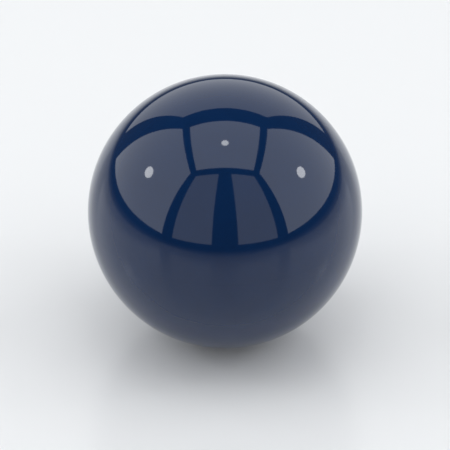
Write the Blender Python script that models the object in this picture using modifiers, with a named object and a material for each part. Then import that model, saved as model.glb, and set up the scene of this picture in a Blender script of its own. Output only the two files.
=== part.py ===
"""Full-size composite croquet ball: a moulded core, cemented inside a hard plastic cover in two halves.

Metres, +Z up. The origin is the centre of the ball. The cover's seam lies in the plane Z = 0: the lower
half has a tongue round its rim, and the upper half has the groove that takes it. Pieces that are
cemented face to face keep JOINT_GAP between them.
"""

from math import asin, cos, pi, sin

import bmesh
import bpy

# The ball
BALL_DIAMETER = 0.092075  # 3 5/8 in
COVER_THICKNESS = 0.00635  # 1/4 in
CORE_CEMENT_THICKNESS = 0.0005
JOINT_GAP = 0.0003

# The seam between the two halves of the cover
TONGUE_WIDTH = 0.0020
TONGUE_HEIGHT = 0.0018
SEAM_CEMENT_HEIGHT = 0.0010
EDGE_CHAMFER = 0.0003

# Fineness of the turned surfaces
COVER_SEGMENTS = 60
INNER_SEGMENTS = 40

# Radii worked out from the driving dimensions
BALL_RADIUS = BALL_DIAMETER / 2
COVER_INNER_RADIUS = BALL_RADIUS - COVER_THICKNESS
CUP_OUTER_RADIUS = COVER_INNER_RADIUS - JOINT_GAP
CUP_INNER_RADIUS = CUP_OUTER_RADIUS - CORE_CEMENT_THICKNESS
CORE_RADIUS = CUP_INNER_RADIUS - JOINT_GAP

# The seam's radii and heights: tongue and groove share the middle of the cover's wall
TONGUE_INSIDE = (BALL_RADIUS + COVER_INNER_RADIUS - TONGUE_WIDTH) / 2
TONGUE_OUTSIDE = TONGUE_INSIDE + TONGUE_WIDTH
GROOVE_INSIDE = TONGUE_INSIDE - JOINT_GAP
GROOVE_OUTSIDE = TONGUE_OUTSIDE + JOINT_GAP
SEAM_CEMENT_BASE = TONGUE_HEIGHT + JOINT_GAP
SEAM_CEMENT_TOP = SEAM_CEMENT_BASE + SEAM_CEMENT_HEIGHT
GROOVE_DEPTH = SEAM_CEMENT_TOP + JOINT_GAP
RIM_HEIGHT = JOINT_GAP / 2

# Turned pieces have no two points closer than this
MERGE_DISTANCE = 0.00001
SHARP_ANGLE = pi / 6

# Base colours, linear red, green, blue
NAVY = (0.0003, 0.016, 0.066)
CORK_BROWN = (0.28, 0.15, 0.07)
AMBER = (0.42, 0.26, 0.08)
CLEAR_GREY = (0.32, 0.36, 0.40)


def clear_scene():
    """Remove whatever the scene holds."""
    for thing in list(bpy.data.objects):
        bpy.data.objects.remove(thing, do_unlink=True)


def new_collection(name):
    """Make a collection in the scene."""
    collection = bpy.data.collections.new(name)
    bpy.context.scene.collection.children.link(collection)
    return collection


def new_material(name, colour, roughness):
    """Make a non-metallic material with a Principled BSDF."""
    material = bpy.data.materials.new(name)
    material.use_nodes = True
    shader = material.node_tree.nodes["Principled BSDF"]
    shader.inputs["Base Color"].default_value = (*colour, 1.0)
    shader.inputs["Roughness"].default_value = roughness
    shader.inputs["Metallic"].default_value = 0.0
    return material


def arc(radius, first_angle, last_angle, steps):
    """Points (radius from Z, height) on an arc about the origin. Angles are measured up from Z = 0."""
    points = []
    for step in range(steps + 1):
        angle = first_angle + (last_angle - first_angle) * step / steps
        points.append((radius * cos(angle), radius * sin(angle)))
    return points


def upper_shell_profile(outer_radius, inner_radius, rim_points, segments):
    """Half shell above Z = 0: down its outer side, in along its rim and up its inner side."""
    steps = segments // 4
    outer_rim_angle = asin(RIM_HEIGHT / outer_radius)
    inner_rim_angle = asin(RIM_HEIGHT / inner_radius)
    outer_side = arc(outer_radius, pi / 2, outer_rim_angle, steps)
    inner_side = arc(inner_radius, inner_rim_angle, pi / 2, steps)
    return outer_side + rim_points + inner_side


def lower_shell_profile(outer_radius, inner_radius, rim_points, segments):
    """Half shell below Z = 0: up its inner side, out along its rim and down its outer side.

    Its rim points run inwards, as the upper half's do, and are reversed here.
    """
    steps = segments // 4
    outer_rim_angle = asin(RIM_HEIGHT / outer_radius)
    inner_rim_angle = asin(RIM_HEIGHT / inner_radius)
    inner_side = arc(inner_radius, -pi / 2, -inner_rim_angle, steps)
    outer_side = arc(outer_radius, -outer_rim_angle, -pi / 2, steps)
    return inner_side + rim_points[::-1] + outer_side


def groove_points():
    """Groove in the upper half's rim, from its outer wall to its inner one, with a chamfered mouth."""
    return [
        (GROOVE_OUTSIDE + EDGE_CHAMFER, RIM_HEIGHT),
        (GROOVE_OUTSIDE, RIM_HEIGHT + EDGE_CHAMFER),
        (GROOVE_OUTSIDE, GROOVE_DEPTH),
        (GROOVE_INSIDE, GROOVE_DEPTH),
        (GROOVE_INSIDE, RIM_HEIGHT + EDGE_CHAMFER),
        (GROOVE_INSIDE - EDGE_CHAMFER, RIM_HEIGHT),
    ]


def tongue_points():
    """Tongue on the lower half's rim, from its outer side to its inner one, with chamfered edges."""
    return [
        (TONGUE_OUTSIDE, -RIM_HEIGHT),
        (TONGUE_OUTSIDE, TONGUE_HEIGHT - EDGE_CHAMFER),
        (TONGUE_OUTSIDE - EDGE_CHAMFER, TONGUE_HEIGHT),
        (TONGUE_INSIDE + EDGE_CHAMFER, TONGUE_HEIGHT),
        (TONGUE_INSIDE, TONGUE_HEIGHT - EDGE_CHAMFER),
        (TONGUE_INSIDE, -RIM_HEIGHT),
    ]


def smooth(mesh):
    """Shade a mesh smooth, with its rim corners sharp."""
    mesh.shade_smooth()
    mesh.set_sharp_from_angle(angle=SHARP_ANGLE)


def turned_part(name, profile, segments, material):
    """Turn a profile once round Z and keep the result as the part's mesh."""
    outline = bpy.data.meshes.new(name + "_profile")
    points = [(radius, 0.0, height) for radius, height in profile]
    edges = [(i, i + 1) for i in range(len(points) - 1)]
    outline.from_pydata(points, edges, [])
    part = bpy.data.objects.new(name, outline)
    ball.objects.link(part)

    turn = part.modifiers.new("Turn", "SCREW")
    turn.axis = "Z"
    turn.angle = 2 * pi
    turn.steps = segments
    turn.render_steps = segments
    turn.use_merge_vertices = True
    turn.merge_threshold = MERGE_DISTANCE

    shapes = bpy.context.evaluated_depsgraph_get()
    solid = bpy.data.meshes.new_from_object(part.evaluated_get(shapes))
    solid.name = name
    part.modifiers.clear()
    part.data = solid
    bpy.data.meshes.remove(outline)
    smooth(solid)
    solid.materials.append(material)
    return part


def make_core():
    """Core: one solid ball, pressed in a mould from cork granules and rubber."""
    shape = bmesh.new()
    bmesh.ops.create_uvsphere(
        shape, u_segments=INNER_SEGMENTS, v_segments=INNER_SEGMENTS // 2, radius=CORE_RADIUS
    )
    mesh = bpy.data.meshes.new("core")
    shape.to_mesh(mesh)
    shape.free()
    smooth(mesh)
    mesh.materials.append(new_material("core_cork_rubber", CORK_BROWN, 0.8))
    part = bpy.data.objects.new("core", mesh)
    ball.objects.link(part)
    return part


def make_core_cement_upper():
    """Thin cup of flexible cement between the core and the upper half of the cover."""
    profile = upper_shell_profile(CUP_OUTER_RADIUS, CUP_INNER_RADIUS, [], INNER_SEGMENTS)
    material = new_material("core_cement_upper_amber", AMBER, 0.35)
    return turned_part("core_cement_upper", profile, INNER_SEGMENTS, material)


def make_core_cement_lower():
    """The same cup under the core."""
    profile = lower_shell_profile(CUP_OUTER_RADIUS, CUP_INNER_RADIUS, [], INNER_SEGMENTS)
    material = new_material("core_cement_lower_amber", AMBER, 0.35)
    return turned_part("core_cement_lower", profile, INNER_SEGMENTS, material)


def make_cover_upper():
    """Upper half of the cover, with the groove in its rim."""
    profile = upper_shell_profile(BALL_RADIUS, COVER_INNER_RADIUS, groove_points(), COVER_SEGMENTS)
    material = new_material("cover_upper_navy", NAVY, 0.05)
    return turned_part("cover_upper", profile, COVER_SEGMENTS, material)


def make_cover_lower():
    """Lower half of the cover, with the tongue on its rim."""
    profile = lower_shell_profile(BALL_RADIUS, COVER_INNER_RADIUS, tongue_points(), COVER_SEGMENTS)
    material = new_material("cover_lower_navy", NAVY, 0.05)
    return turned_part("cover_lower", profile, COVER_SEGMENTS, material)


def make_seam_cement():
    """Ring of hard cement that fills the bottom of the groove, above the tongue."""
    profile = [
        (TONGUE_INSIDE, SEAM_CEMENT_TOP),
        (TONGUE_OUTSIDE, SEAM_CEMENT_TOP),
        (TONGUE_OUTSIDE, SEAM_CEMENT_BASE),
        (TONGUE_INSIDE, SEAM_CEMENT_BASE),
        (TONGUE_INSIDE, SEAM_CEMENT_TOP),
    ]
    material = new_material("seam_cement_clear_grey", CLEAR_GREY, 0.25)
    return turned_part("seam_cement", profile, COVER_SEGMENTS, material)


clear_scene()
ball = new_collection("croquet_ball")
ball_centre = bpy.data.objects.new("ball_centre", None)
ball.objects.link(ball_centre)
for made in (
    make_core(),
    make_core_cement_upper(),
    make_core_cement_lower(),
    make_cover_upper(),
    make_cover_lower(),
    make_seam_cement(),
):
    made.parent = ball_centre
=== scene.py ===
"""Looks for the croquet ball: fine meshes and finishes for its six pieces, inside a small light tent.

The ball's centre is the origin. The camera looks along +Y and down, through the slit between the
tent's two front panels. Lengths are metres.
"""

from math import asin, cos, pi, radians, sin, tan

import bmesh
import bpy
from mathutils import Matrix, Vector, noise


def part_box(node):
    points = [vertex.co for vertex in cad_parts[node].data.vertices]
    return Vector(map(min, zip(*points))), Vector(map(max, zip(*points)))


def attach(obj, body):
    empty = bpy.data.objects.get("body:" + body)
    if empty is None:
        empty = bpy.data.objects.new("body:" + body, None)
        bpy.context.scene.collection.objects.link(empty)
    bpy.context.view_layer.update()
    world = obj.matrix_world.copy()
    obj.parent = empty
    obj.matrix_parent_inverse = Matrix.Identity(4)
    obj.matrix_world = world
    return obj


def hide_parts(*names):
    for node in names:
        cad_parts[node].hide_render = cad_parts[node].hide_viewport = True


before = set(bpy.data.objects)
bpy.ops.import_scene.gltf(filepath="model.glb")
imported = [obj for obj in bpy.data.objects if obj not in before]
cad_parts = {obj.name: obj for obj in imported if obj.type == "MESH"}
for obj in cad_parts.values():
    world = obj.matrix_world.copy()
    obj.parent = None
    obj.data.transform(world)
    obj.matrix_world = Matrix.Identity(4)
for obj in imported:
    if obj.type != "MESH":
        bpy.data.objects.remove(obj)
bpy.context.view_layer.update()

# ---------------------------------------------------------------- sizes, all read from the frame

BALL_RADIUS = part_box("cover_upper")[1].z
TONGUE_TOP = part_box("cover_lower")[1].z
SEAM_CEMENT_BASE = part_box("seam_cement")[0].z
SEAM_CEMENT_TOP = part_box("seam_cement")[1].z
TONGUE_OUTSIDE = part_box("seam_cement")[1].x
JOINT_GAP = SEAM_CEMENT_BASE - TONGUE_TOP
CUP_OUTER_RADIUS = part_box("core_cement_upper")[1].z
COVER_INNER_RADIUS = CUP_OUTER_RADIUS + JOINT_GAP
CORE_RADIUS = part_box("core")[1].z
CUP_INNER_RADIUS = CORE_RADIUS + JOINT_GAP
TONGUE_INSIDE = BALL_RADIUS + COVER_INNER_RADIUS - TONGUE_OUTSIDE
GROOVE_TOP = SEAM_CEMENT_TOP + JOINT_GAP
FLOOR_Z = -BALL_RADIUS

# The halves of the cover are cemented and polished flush, so the seam is a hairline
SEAM_HAIRLINE = 0.00001
EDGE_ROUND = 0.0003
MERGE_DISTANCE = 0.000001
COVER_SEGMENTS = 224
INNER_SEGMENTS = 192
CORE_SUBDIVISIONS = 7

# The hidden pieces
GRANULE_SIZE = 0.0022
GRANULE_RELIEF = 0.00018
GROOVE_SHARPNESS = 4.0  # a groove is a quarter of a granule wide
CEMENT_RIPPLE = 0.00012
RIPPLE_SIZE = 0.006
MENISCUS = 0.00012


# ---------------------------------------------------------------- node helpers


class Nodes:
    """Short names for building one material's node tree."""

    def __init__(self, tree):
        self.tree = tree
        tree.nodes.clear()

    def add(self, kind, **settings):
        """Add a node and set its properties."""
        node = self.tree.nodes.new(kind)
        for name, value in settings.items():
            setattr(node, name, value)
        return node

    def put(self, socket, value):
        """Link value to the socket if it is another socket, or else store it there."""
        if isinstance(value, bpy.types.NodeSocket):
            self.tree.links.new(value, socket)
        else:
            socket.default_value = value

    def math(self, operation, first, second=0.0):
        """One maths node."""
        node = self.add("ShaderNodeMath", operation=operation)
        self.put(node.inputs[0], first)
        self.put(node.inputs[1], second)
        return node.outputs[0]

    def place(self):
        """Position in the object's own frame, which is the row's frame."""
        return self.add("ShaderNodeTexCoord").outputs["Object"]

    def noise(self, where, size, detail=2.0, roughness=0.5):
        """Noise from 0 to 1 with features about size metres across."""
        node = self.add("ShaderNodeTexNoise")
        self.put(node.inputs["Vector"], where)
        node.inputs["Scale"].default_value = 1.0 / size
        node.inputs["Detail"].default_value = detail
        node.inputs["Roughness"].default_value = roughness
        return node.outputs["Fac"]

    def spread(self, value, low, high, new_low, new_high):
        """Map low..high to new_low..new_high, clamped."""
        node = self.add("ShaderNodeMapRange")
        self.put(node.inputs["Value"], value)
        for name, number in zip(("From Min", "From Max", "To Min", "To Max"), (low, high, new_low, new_high)):
            node.inputs[name].default_value = number
        return node.outputs["Result"]

    def blend(self, amount, first, second):
        """Mix two colours."""
        node = self.add("ShaderNodeMix", data_type="RGBA")
        self.put(node.inputs["Factor"], amount)
        self.put(node.inputs["A"], first)
        self.put(node.inputs["B"], second)
        return node.outputs["Result"]


def new_material(name):
    """A material with an empty node tree. Returns the material and its Nodes."""
    material = bpy.data.materials.new(name)
    material.use_nodes = True
    return material, Nodes(material.node_tree)


def surface(nodes, shader):
    """Send a shader to the material's output."""
    output = nodes.add("ShaderNodeOutputMaterial")
    nodes.tree.links.new(shader, output.inputs["Surface"])


# ---------------------------------------------------------------- finishes


def cover_plastic():
    """Hard navy plastic, polished to a mirror."""
    material, nodes = new_material("cover_plastic")
    place = nodes.place()
    clouds = nodes.noise(place, 0.011, detail=3.0)
    specks = nodes.noise(place, 0.0006, detail=1.0)
    pigment = nodes.math("ADD", nodes.math("MULTIPLY", clouds, 0.75), nodes.math("MULTIPLY", specks, 0.25))
    amount = nodes.spread(pigment, 0.3, 0.7, 0.0, 1.0)
    colour = nodes.blend(amount, (0.0002, 0.0150, 0.062, 1.0), (0.0004, 0.0175, 0.071, 1.0))

    smears = nodes.noise(place, 0.018, detail=4.0, roughness=0.6)
    peel = nodes.noise(place, 0.0035, detail=1.0)

    shader = nodes.add("ShaderNodeBsdfPrincipled")
    nodes.put(shader.inputs["Base Color"], colour)
    nodes.put(shader.inputs["Roughness"], nodes.spread(smears, 0.3, 0.75, 0.035, 0.06))
    shader.inputs["IOR"].default_value = 1.5
    bump = nodes.add("ShaderNodeBump")
    bump.inputs["Distance"].default_value = 0.0000015
    bump.inputs["Strength"].default_value = 1.0
    nodes.put(bump.inputs["Height"], peel)
    nodes.put(shader.inputs["Normal"], bump.outputs["Normal"])
    surface(nodes, shader.outputs["BSDF"])
    return material


def cork_and_rubber():
    """Pressed cork granules, each its own brown, in a dark rubber binder."""
    material, nodes = new_material("core_cork_rubber")
    place = nodes.place()
    granule = nodes.add("ShaderNodeTexVoronoi", feature="F1")
    nodes.put(granule.inputs["Vector"], place)
    granule.inputs["Scale"].default_value = 1.0 / GRANULE_SIZE
    edge = nodes.add("ShaderNodeTexVoronoi", feature="DISTANCE_TO_EDGE")
    nodes.put(edge.inputs["Vector"], place)
    edge.inputs["Scale"].default_value = 1.0 / GRANULE_SIZE
    shade = nodes.add("ShaderNodeSeparateColor")
    nodes.put(shade.inputs["Color"], granule.outputs["Color"])
    brown = nodes.blend(shade.outputs[0], (0.17, 0.085, 0.035, 1.0), (0.40, 0.23, 0.11, 1.0))
    flecks = nodes.spread(nodes.noise(place, 0.0004, detail=3.0), 0.55, 0.7, 0.0, 0.6)
    cork = nodes.blend(flecks, brown, (0.10, 0.05, 0.025, 1.0))
    inside_granule = nodes.spread(edge.outputs["Distance"], 0.02, 0.10, 0.0, 1.0)
    colour = nodes.blend(inside_granule, (0.022, 0.019, 0.017, 1.0), cork)

    shader = nodes.add("ShaderNodeBsdfPrincipled")
    nodes.put(shader.inputs["Base Color"], colour)
    nodes.put(shader.inputs["Roughness"], nodes.spread(inside_granule, 0.0, 1.0, 0.55, 0.88))
    bump = nodes.add("ShaderNodeBump")
    bump.inputs["Distance"].default_value = 0.00006
    nodes.put(bump.inputs["Height"], nodes.noise(place, 0.0003, detail=4.0))
    nodes.put(shader.inputs["Normal"], bump.outputs["Normal"])
    surface(nodes, shader.outputs["BSDF"])
    return material


def cement(name, thin, thick, patch_size, roughness):
    """Set cement, darker where it is thick, with a slightly uneven shine."""
    material, nodes = new_material(name)
    place = nodes.place()
    patches = nodes.spread(nodes.noise(place, patch_size, detail=4.0), 0.3, 0.7, 0.0, 1.0)
    shader = nodes.add("ShaderNodeBsdfPrincipled")
    nodes.put(shader.inputs["Base Color"], nodes.blend(patches, thin, thick))
    nodes.put(shader.inputs["Roughness"], nodes.spread(patches, 0.0, 1.0, roughness - 0.06, roughness + 0.08))
    shader.inputs["IOR"].default_value = 1.52
    bump = nodes.add("ShaderNodeBump")
    bump.inputs["Distance"].default_value = 0.00002
    nodes.put(bump.inputs["Height"], nodes.noise(place, patch_size / 4, detail=2.0))
    nodes.put(shader.inputs["Normal"], bump.outputs["Normal"])
    surface(nodes, shader.outputs["BSDF"])
    return material


# ---------------------------------------------------------------- meshes


def arc(radius, first_angle, last_angle, steps):
    """Points (radius from Z, height) on an arc about the origin. Angles are measured up from Z = 0."""
    points = []
    for step in range(steps + 1):
        angle = first_angle + (last_angle - first_angle) * step / steps
        points.append((radius * cos(angle), radius * sin(angle)))
    return points


def turned_piece(name, profile, segments, material):
    """Turn a profile once round Z into a closed mesh with smooth sides and sharp rim corners."""
    outline = bpy.data.meshes.new(name + "_profile")
    outline.from_pydata(
        [(radius, 0.0, height) for radius, height in profile],
        [(i, i + 1) for i in range(len(profile) - 1)],
        [],
    )
    piece = bpy.data.objects.new(name, outline)
    bpy.context.scene.collection.objects.link(piece)
    turn = piece.modifiers.new("Turn", "SCREW")
    turn.angle = 2 * pi
    turn.steps = segments
    turn.render_steps = segments
    turn.use_merge_vertices = True
    turn.merge_threshold = MERGE_DISTANCE
    shapes = bpy.context.evaluated_depsgraph_get()
    solid = bpy.data.meshes.new_from_object(piece.evaluated_get(shapes))
    piece.modifiers.clear()
    piece.data = solid
    bpy.data.meshes.remove(outline)
    solid.shade_smooth()
    solid.set_sharp_from_angle(angle=radians(30))
    solid.materials.append(material)
    return piece


def groove_points(rim):
    """Groove in the upper half's rim, from its outer wall to its inner one."""
    outside = TONGUE_OUTSIDE + JOINT_GAP
    inside = TONGUE_INSIDE - JOINT_GAP
    return [
        (outside + EDGE_ROUND, rim),
        (outside, rim + EDGE_ROUND),
        (outside, GROOVE_TOP),
        (inside, GROOVE_TOP),
        (inside, rim + EDGE_ROUND),
        (inside - EDGE_ROUND, rim),
    ]


def tongue_points(rim):
    """Tongue on the lower half's rim, from its outer side to its inner one."""
    return [
        (TONGUE_OUTSIDE, rim),
        (TONGUE_OUTSIDE, TONGUE_TOP - EDGE_ROUND),
        (TONGUE_OUTSIDE - EDGE_ROUND, TONGUE_TOP),
        (TONGUE_INSIDE + EDGE_ROUND, TONGUE_TOP),
        (TONGUE_INSIDE, TONGUE_TOP - EDGE_ROUND),
        (TONGUE_INSIDE, rim),
    ]


def make_cover_upper(material):
    """Upper half of the cover."""
    rim = SEAM_HAIRLINE / 2
    steps = COVER_SEGMENTS // 4
    outer = arc(BALL_RADIUS, pi / 2, asin(rim / BALL_RADIUS), steps)
    inner = arc(COVER_INNER_RADIUS, asin(rim / COVER_INNER_RADIUS), pi / 2, steps)
    profile = outer + groove_points(rim) + inner
    piece = turned_piece("cover_upper_shell", profile, COVER_SEGMENTS, material)
    return finish_piece(piece, "cover_upper")


def make_cover_lower(material):
    """Lower half of the cover."""
    rim = -SEAM_HAIRLINE / 2
    steps = COVER_SEGMENTS // 4
    inner = arc(COVER_INNER_RADIUS, -pi / 2, asin(rim / COVER_INNER_RADIUS), steps)
    outer = arc(BALL_RADIUS, asin(rim / BALL_RADIUS), -pi / 2, steps)
    profile = inner + tongue_points(rim)[::-1] + outer
    piece = turned_piece("cover_lower_shell", profile, COVER_SEGMENTS, material)
    return finish_piece(piece, "cover_lower")


def make_core(material):
    """Core, with grooves in its skin where granules meet."""
    shape = bmesh.new()
    bmesh.ops.create_icosphere(shape, subdivisions=CORE_SUBDIVISIONS, radius=CORE_RADIUS)
    for point in shape.verts:
        direction = point.co.normalized()
        distances = noise.voronoi(point.co / GRANULE_SIZE)[0]
        groove = 1.0 - min(1.0, GROOVE_SHARPNESS * (distances[1] - distances[0]))
        point.co = direction * (CORE_RADIUS - GRANULE_RELIEF * groove * groove)
    mesh = bpy.data.meshes.new("core_granules")
    shape.to_mesh(mesh)
    shape.free()
    mesh.shade_smooth()
    mesh.materials.append(material)
    piece = bpy.data.objects.new("core_granules", mesh)
    bpy.context.scene.collection.objects.link(piece)
    return finish_piece(piece, "core")


def ripple(piece):
    """Pull both faces of a cement cup into its own thickness, unevenly, as brushed cement sets."""
    middle = (CUP_OUTER_RADIUS + CUP_INNER_RADIUS) / 2
    for point in piece.data.vertices:
        level = 0.5 + 0.5 * noise.noise(point.co / RIPPLE_SIZE)
        inwards = -1.0 if point.co.length > middle else 1.0
        point.co += inwards * CEMENT_RIPPLE * level * point.co.normalized()


def make_cement_cup(side, material):
    """Cup of cement over the core's upper half (side 1) or lower half (side -1)."""
    steps = INNER_SEGMENTS // 4
    rim = JOINT_GAP / 2
    outer = arc(CUP_OUTER_RADIUS, pi / 2, asin(rim / CUP_OUTER_RADIUS), steps)
    inner = arc(CUP_INNER_RADIUS, asin(rim / CUP_INNER_RADIUS), pi / 2, steps)
    profile = outer + inner
    if side < 0:
        profile = [(radius, -height) for radius, height in reversed(profile)]
    node = "core_cement_upper" if side > 0 else "core_cement_lower"
    piece = turned_piece(node + "_cup", profile, INNER_SEGMENTS, material)
    ripple(piece)
    return finish_piece(piece, node)


def make_seam_cement(material):
    """Ring of cement, whose free lower face hollows upwards in a shallow meniscus over the tongue."""
    middle = (TONGUE_OUTSIDE + TONGUE_INSIDE) / 2
    half_width = (TONGUE_OUTSIDE - TONGUE_INSIDE) / 2
    steps = 8
    profile = [(TONGUE_INSIDE, SEAM_CEMENT_TOP), (TONGUE_OUTSIDE, SEAM_CEMENT_TOP)]
    for step in range(steps + 1):
        across = 1.0 - 2.0 * step / steps
        height = SEAM_CEMENT_BASE + MENISCUS * (1.0 - across * across)
        profile.append((middle + across * half_width, height))
    profile.append(profile[0])
    piece = turned_piece("seam_cement_ring", profile, COVER_SEGMENTS, material)
    return finish_piece(piece, "seam_cement")


def finish_piece(piece, node):
    """Ride the one body and stand for a CAD node, whose own mesh is hidden."""
    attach(piece, "root")
    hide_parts(node)
    return piece


# ---------------------------------------------------------------- studio

# A light tent of flat rectangular softboxes, open in front where the camera looks in
TENT_WIDTH = 1.40
TENT_DEPTH = 1.30
TENT_HEIGHT = 1.40
PANEL_MARGIN = 0.10  # between a panel's edge and the corner of the tent
SLIT_WIDTH = 0.24
LAMP_SIZE = 0.12
LAMP_INSET = 0.01
BACKDROP_DISTANCE = 0.95

# Light levels, as radiance
PANEL_LEVEL = 1.5
CURTAIN_LEVEL = 0.8
BACKDROP_LEVEL = 1.0
LAMP_LEVEL = 6.0
ROOM_LEVEL = 0.08
DAYLIGHT = (0.98, 1.0, 1.02)

FLOOR_SIZE = 8.0


def softbox(name, centre, facing, width, height, level, outline="RECTANGLE"):
    """A flat light that faces one way. The ball reflects it, and the camera doesn't see it."""
    data = bpy.data.lights.new(name, "AREA")
    data.shape = outline
    data.size = width
    data.size_y = height
    data.color = DAYLIGHT
    data.energy = level * pi * width * height
    light = bpy.data.objects.new(name, data)
    bpy.context.scene.collection.objects.link(light)
    light.location = centre
    light.rotation_mode = "QUATERNION"
    light.rotation_quaternion = Vector(facing).to_track_quat("-Z", "Y")
    light.visible_camera = False
    return light


def lamp(name, centre, facing):
    """A lamp that shows through a panel as a bright round spot."""
    softbox("lamp_" + name, centre, facing, LAMP_SIZE, LAMP_SIZE, LAMP_LEVEL, "ELLIPSE")


def build_tent():
    """Two side walls and a roof with a lamp behind each, two front panels and a backdrop."""
    middle = FLOOR_Z + TENT_HEIGHT / 2
    roof = FLOOR_Z + TENT_HEIGHT
    wall_width = TENT_DEPTH - 2 * PANEL_MARGIN
    wall_height = TENT_HEIGHT - 2 * PANEL_MARGIN
    roof_width = TENT_WIDTH - 2 * PANEL_MARGIN
    front_width = (TENT_WIDTH - SLIT_WIDTH) / 2 - PANEL_MARGIN
    lamp_height = FLOOR_Z + TENT_HEIGHT / 3
    for name, side in (("left", -1), ("right", 1)):
        wall_x = side * TENT_WIDTH / 2
        inwards = (-side, 0.0, 0.0)
        softbox("wall_" + name, (wall_x, 0.0, middle), inwards, wall_width, wall_height, PANEL_LEVEL)
        lamp(name, (wall_x - side * LAMP_INSET, 0.0, lamp_height), inwards)
        front_place = (side * (SLIT_WIDTH + front_width) / 2, -TENT_DEPTH / 2, middle)
        softbox("front_" + name, front_place, (0.0, 1.0, 0.0), front_width, wall_height, CURTAIN_LEVEL)
    down = (0.0, 0.0, -1.0)
    softbox("roof", (0.0, 0.0, roof), down, roof_width, wall_width, PANEL_LEVEL)
    lamp("roof", (0.0, 0.0, roof - LAMP_INSET), down)
    backdrop_place = (0.0, BACKDROP_DISTANCE, middle)
    softbox("backdrop", backdrop_place, (0.0, -1.0, 0.0), TENT_WIDTH, wall_height, BACKDROP_LEVEL)


def build_floor():
    """Plain white floor with a satin surface."""
    material, nodes = new_material("floor_white")
    shader = nodes.add("ShaderNodeBsdfPrincipled")
    shader.inputs["Base Color"].default_value = (0.86, 0.86, 0.86, 1.0)
    shader.inputs["Roughness"].default_value = 0.22
    shader.inputs["IOR"].default_value = 1.5
    surface(nodes, shader.outputs["BSDF"])
    half = FLOOR_SIZE / 2
    corners = [(-half, -half, FLOOR_Z), (half, -half, FLOOR_Z), (half, half, FLOOR_Z), (-half, half, FLOOR_Z)]
    mesh = bpy.data.meshes.new("floor")
    mesh.from_pydata(corners, [], [(0, 1, 2, 3)])
    mesh.materials.append(material)
    floor = bpy.data.objects.new("floor", mesh)
    bpy.context.scene.collection.objects.link(floor)


def build_world():
    """Even, dim light from the room round the tent."""
    world = bpy.data.worlds.new("room")
    world.use_nodes = True
    nodes = Nodes(world.node_tree)
    background = nodes.add("ShaderNodeBackground")
    background.inputs["Color"].default_value = (*DAYLIGHT, 1.0)
    background.inputs["Strength"].default_value = ROOM_LEVEL
    output = nodes.add("ShaderNodeOutputWorld")
    nodes.tree.links.new(background.outputs[0], output.inputs["Surface"])
    bpy.context.scene.world = world


def build_camera():
    """Long lens, 32 degrees above the floor, on the slit's side."""
    elevation = radians(32)
    distance = 36 * BALL_RADIUS
    share_of_half_frame = 0.61
    data = bpy.data.cameras.new("camera")
    camera = bpy.data.objects.new("camera", data)
    bpy.context.scene.collection.objects.link(camera)
    bpy.context.scene.camera = camera
    back = Vector((0.0, -cos(elevation), sin(elevation)))
    up = Vector((0.0, sin(elevation), cos(elevation)))
    camera.location = distance * back
    aim = -0.10 * BALL_RADIUS * up
    camera.rotation_mode = "QUATERNION"
    camera.rotation_quaternion = (aim - camera.location).to_track_quat("-Z", "Y")
    data.sensor_width = 36.0
    data.lens = data.sensor_width / 2 / (tan(asin(BALL_RADIUS / distance)) / share_of_half_frame)
    data.clip_start = 0.05
    data.clip_end = 20.0


navy = cover_plastic()
make_cover_upper(navy)
make_cover_lower(navy)
amber = cement("core_cement", (0.48, 0.31, 0.11, 1.0), (0.34, 0.20, 0.06, 1.0), 0.005, 0.32)
make_core(cork_and_rubber())
make_cement_cup(1, amber)
make_cement_cup(-1, amber)
make_seam_cement(cement("seam_cement", (0.38, 0.42, 0.46, 1.0), (0.26, 0.30, 0.34, 1.0), 0.003, 0.25))

build_tent()
build_floor()
build_world()
build_camera()
bpy.context.scene.view_settings.view_transform = "Standard"
